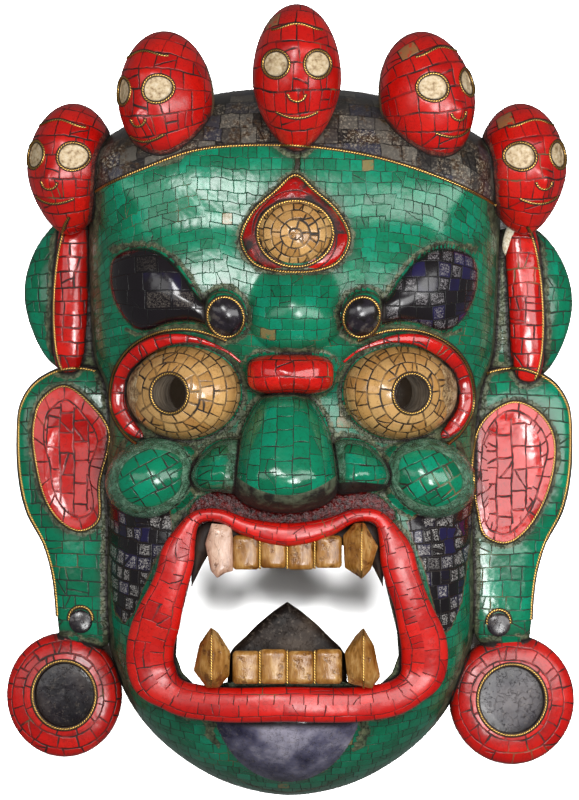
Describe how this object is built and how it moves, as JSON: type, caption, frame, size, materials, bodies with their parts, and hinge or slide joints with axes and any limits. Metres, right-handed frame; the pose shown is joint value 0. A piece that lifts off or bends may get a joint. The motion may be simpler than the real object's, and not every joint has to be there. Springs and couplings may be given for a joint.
{
  "type": "tibetan cham mask",
  "caption": "Wrathful protector mask of carved wood inlaid with turquoise, coral, lapis and bone, with a skull crown, fangs and disc earrings, lying face up.",
  "frame": {"origin": "middle of the mask's footprint, in the plane of the back rim it lies on", "axes": "+X to the viewer's right across the face, +Y from the chin to the crown, +Z out of the face, up from the floor"},
  "size_m": [0.359, 0.499, 0.1491],
  "materials": {
    "inlaid_wood": "carved wood set flush with polished turquoise, coral, lapis and bone tiles in dark filler",
    "bone": "polished yellowed bone"
  },
  "bodies": {
    "root": {"carved_mask": "inlaid_wood", "upper_incisor_1": "bone", "upper_incisor_2": "bone", "upper_incisor_3": "bone", "upper_incisor_4": "bone", "lower_incisor_1": "bone", "lower_incisor_2": "bone", "lower_incisor_3": "bone", "lower_incisor_4": "bone", "upper_fang_left": "bone", "upper_fang_right": "bone", "lower_fang_left": "bone", "lower_fang_right": "bone"}
  },
  "joints": []
}
